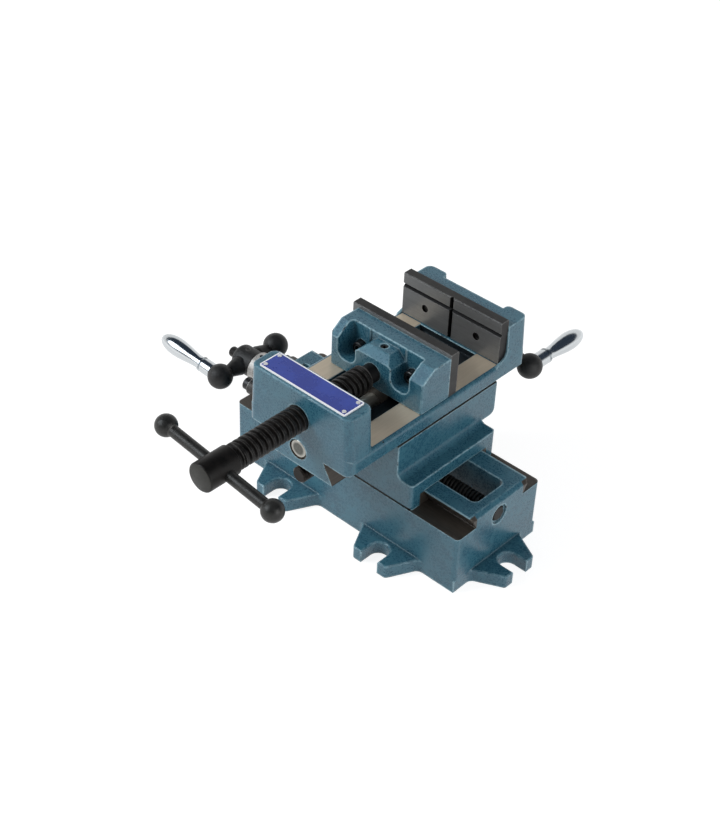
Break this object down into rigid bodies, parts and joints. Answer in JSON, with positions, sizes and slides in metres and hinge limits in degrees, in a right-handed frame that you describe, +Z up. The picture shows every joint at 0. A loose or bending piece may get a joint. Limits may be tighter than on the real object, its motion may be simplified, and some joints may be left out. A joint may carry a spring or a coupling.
{
  "type": "cross slide vise",
  "caption": "Cross slide drill press vise: slotted base, dovetail saddle, sliding vise body with V grooved jaw, ball crank lead screws and a clamping screw with sliding bar.",
  "frame": {"origin": "centre of the underside of the base", "axes": "+Z up, +X along the base towards the end without a crank, +Y from the clamping bar to the fixed jaw"},
  "size_m": [0.2817, 0.3101, 0.1218],
  "materials": {
    "enamel": "hammered gloss",
    "black_oxide": "black oxide",
    "jaw_steel": "ground",
    "chrome": "polished",
    "bright_steel": "turned",
    "bracket_iron": "machined",
    "gib_iron": "ground",
    "nut_bronze": "machined",
    "plate_blue": "printed"
  },
  "bodies": {
    "base": {"base": "enamel", "x_bracket": "bracket_iron", "x_bracket_screws": "black_oxide"},
    "saddle": {"saddle": "enamel", "x_gib": "gib_iron", "x_gib_screws": "black_oxide", "x_gib_nuts": "black_oxide", "y_gib": "gib_iron", "y_gib_screws": "black_oxide", "y_gib_nuts": "black_oxide", "x_nut": "nut_bronze", "x_nut_screws": "black_oxide", "y_nut": "nut_bronze", "y_nut_screws": "black_oxide"},
    "x_screw": {"x_lead_screw": "black_oxide", "x_dial": "bright_steel", "x_dial_set_screw": "black_oxide", "x_crank": "black_oxide", "x_crank_pin": "black_oxide", "x_handle_spindle": "bright_steel"},
    "x_grip": {"x_handle": "chrome"},
    "vise_body": {"vise_body": "enamel", "y_bracket": "bracket_iron", "y_bracket_screws": "black_oxide", "fixed_jaw_plate": "jaw_steel", "fixed_plate_screws": "black_oxide", "guide_rod": "bright_steel", "name_plate": "plate_blue", "plate_rivets": "bright_steel"},
    "y_screw": {"y_lead_screw": "black_oxide", "y_dial": "bright_steel", "y_dial_set_screw": "black_oxide", "y_crank": "black_oxide", "y_crank_pin": "black_oxide", "y_handle_spindle": "bright_steel"},
    "y_grip": {"y_handle": "chrome"},
    "moving_jaw": {"movable_jaw": "enamel", "movable_jaw_plate": "jaw_steel", "movable_plate_screws": "black_oxide", "screw_retainer": "black_oxide"},
    "jaw_screw": {"jaw_screw": "black_oxide"},
    "jaw_bar": {"handle_bar": "black_oxide", "handle_balls": "black_oxide"}
  },
  "joints": [
    {"name": "x_slide", "type": "slide", "parent": "base", "child": "saddle", "axis": [1, 0, 0], "range_m": [-0.0381, 0.0351]},
    {"name": "x_crank_turn", "type": "hinge", "parent": "base", "child": "x_screw", "pos_m": [-0.09, 0, 0.0375], "axis": [1, 0, 0], "range_deg": [-5068.8, 5500.8]},
    {"name": "x_handle_spin", "type": "hinge", "parent": "x_screw", "child": "x_grip", "pos_m": [-0.1192, -0.0247, 0.03772], "axis": [-0.9986, 0.0005, 0.0523], "continuous": true},
    {"name": "y_slide", "type": "slide", "parent": "saddle", "child": "vise_body", "axis": [0, 1, 0], "range_m": [-0.0241, 0.0501]},
    {"name": "y_crank_turn", "type": "hinge", "parent": "vise_body", "child": "y_screw", "pos_m": [0.0025, 0.076, 0.06], "axis": [0, 1, 0], "range_deg": [-3484.8, 7228.8]},
    {"name": "y_handle_spin", "type": "hinge", "parent": "y_screw", "child": "y_grip", "pos_m": [0.02693, 0.1058, 0.05635], "axis": [-0.0039, 0.9997, -0.0259], "continuous": true},
    {"name": "jaw_slide", "type": "slide", "parent": "vise_body", "child": "moving_jaw", "axis": [0, 1, 0], "range_m": [-0.0381, 0.0381]},
    {"name": "jaw_screw_turn", "type": "hinge", "parent": "moving_jaw", "child": "jaw_screw", "pos_m": [0.0025, -0.1, 0.1025], "axis": [0, 1, 0], "range_deg": [-3438, 3438]},
    {"name": "bar_slide", "type": "slide", "parent": "jaw_screw", "child": "jaw_bar", "axis": [0.993, 0, -0.1184], "range_m": [-0.025, 0.025]}
  ],
  "couplings": [
    {"joint": "x_crank_turn", "follows": "x_slide", "rad_per_m": -2513.3},
    {"joint": "y_crank_turn", "follows": "y_slide", "rad_per_m": 2513.3},
    {"joint": "jaw_screw_turn", "follows": "jaw_slide", "rad_per_m": 1570.8}
  ]
}
